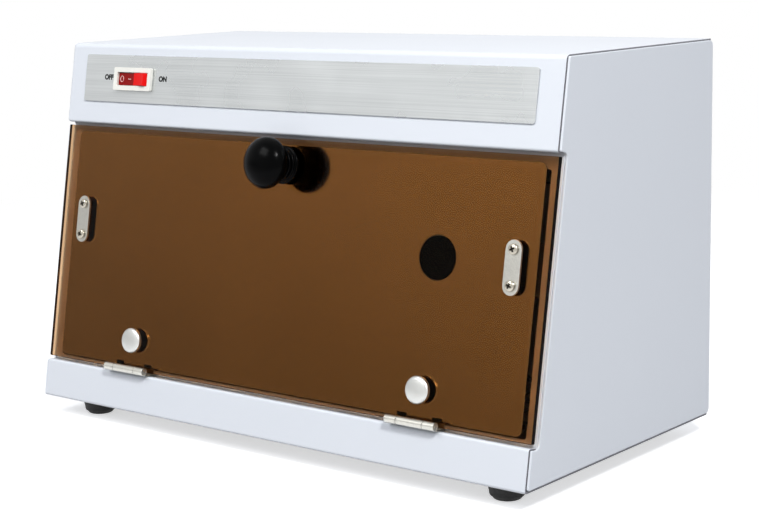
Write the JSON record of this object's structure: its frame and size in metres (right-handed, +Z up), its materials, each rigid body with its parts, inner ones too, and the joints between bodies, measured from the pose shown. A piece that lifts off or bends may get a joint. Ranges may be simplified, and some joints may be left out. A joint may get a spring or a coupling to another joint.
{
  "type": "ultraviolet tool sterilizer cabinet",
  "caption": "Table-top ultraviolet cabinet for salon tools: white steel case with a leaning front, a bronze mirror door hinged at its foot, a rocker switch and a lamp inside",
  "frame": {"origin": "On the surface that the feet stand on, under the middle of the whole outline, door closed.", "axes": "+X runs across the cabinet to the right of somebody who faces the door, +Y points from the door to the back, +Z points up."},
  "size_m": [0.37, 0.209, 0.232],
  "materials": {
    "white_paint": "white powder coat, slight orange peel, satin",
    "stainless": "satin stainless",
    "foot_rubber": "matt moulded rubber",
    "brushed_plate": "fine brushing along the plate",
    "cream_plastic": "moulded, soft gloss",
    "red_plastic": "clear red, lit from inside when on",
    "bronze_acrylic": "clear bronze sheet, polished faces",
    "mirror_film": "metallised mirror sheet",
    "sight_glass": "near black, smooth",
    "black_plastic": "moulded, glossy",
    "ferrite": "dull sintered magnet",
    "chrome_cap": "polished chrome plate",
    "lamp_quartz": "clear quartz tube",
    "bare_aluminium": "bright rolled",
    "ballast_steel": "varnished steel laminations",
    "grey_plastic": "moulded, matt",
    "wire_insulation": "smooth insulation",
    "rack_chrome": "plated wire"
  },
  "bodies": {
    "cabinet": {"top_cover": "white_paint", "base_pan": "white_paint", "side_panel_left": "white_paint", "side_panel_right": "white_paint", "back_panel": "white_paint", "door_frame": "white_paint", "chamber_ceiling": "white_paint", "back_screw_1": "stainless", "back_screw_2": "stainless", "back_screw_3": "stainless", "back_screw_4": "stainless", "foot_front_left": "foot_rubber", "foot_front_right": "foot_rubber", "foot_back_left": "foot_rubber", "foot_back_right": "foot_rubber", "foot_screw_front_left": "stainless", "foot_screw_front_right": "stainless", "foot_screw_back_left": "stainless", "foot_screw_back_right": "stainless", "name_plate": "brushed_plate", "switch_housing": "cream_plastic", "catch_magnet_left": "ferrite", "catch_magnet_right": "ferrite", "hinge_leaf_fixed_left": "stainless", "hinge_leaf_fixed_right": "stainless", "hinge_pin_left": "stainless", "hinge_pin_right": "stainless", "uv_lamp_tube": "lamp_quartz", "lamp_cap_left": "bare_aluminium", "lamp_cap_right": "bare_aluminium", "lamp_holder_left": "cream_plastic", "lamp_holder_right": "cream_plastic", "lamp_reflector": "bare_aluminium", "ballast": "ballast_steel", "starter": "bare_aluminium", "starter_socket": "grey_plastic", "terminal_block": "grey_plastic", "wire_supply": "wire_insulation", "wire_ballast": "wire_insulation", "wire_lamp_left": "wire_insulation", "wire_lamp_right": "wire_insulation", "cable_gland": "black_plastic", "gland_locknut": "black_plastic", "wire_rack": "rack_chrome"},
    "door": {"door_panel": "bronze_acrylic", "door_backing": "mirror_film", "sight_window": "sight_glass", "door_knob": "black_plastic", "knob_screw": "stainless", "strike_plate_left": "stainless", "strike_plate_right": "stainless", "strike_screw_left_lower": "stainless", "strike_screw_left_upper": "stainless", "strike_screw_right_lower": "stainless", "strike_screw_right_upper": "stainless", "hinge_leaf_door_left": "stainless", "hinge_leaf_door_right": "stainless", "hinge_cap_left": "chrome_cap", "hinge_cap_right": "chrome_cap"},
    "rocker": {"switch_rocker": "red_plastic"}
  },
  "joints": [
    {"name": "door_hinge", "type": "hinge", "parent": "cabinet", "child": "door", "pos_m": [0, -0.10209, 0.03843], "axis": [1, 0, 0], "range_deg": [0, 108]},
    {"name": "switch_rocker_tilt", "type": "hinge", "parent": "cabinet", "child": "rocker", "pos_m": [-0.1261, -0.06543, 0.21061], "axis": [0, 0.1829, 0.9831], "range_deg": [0, 14]}
  ]
}
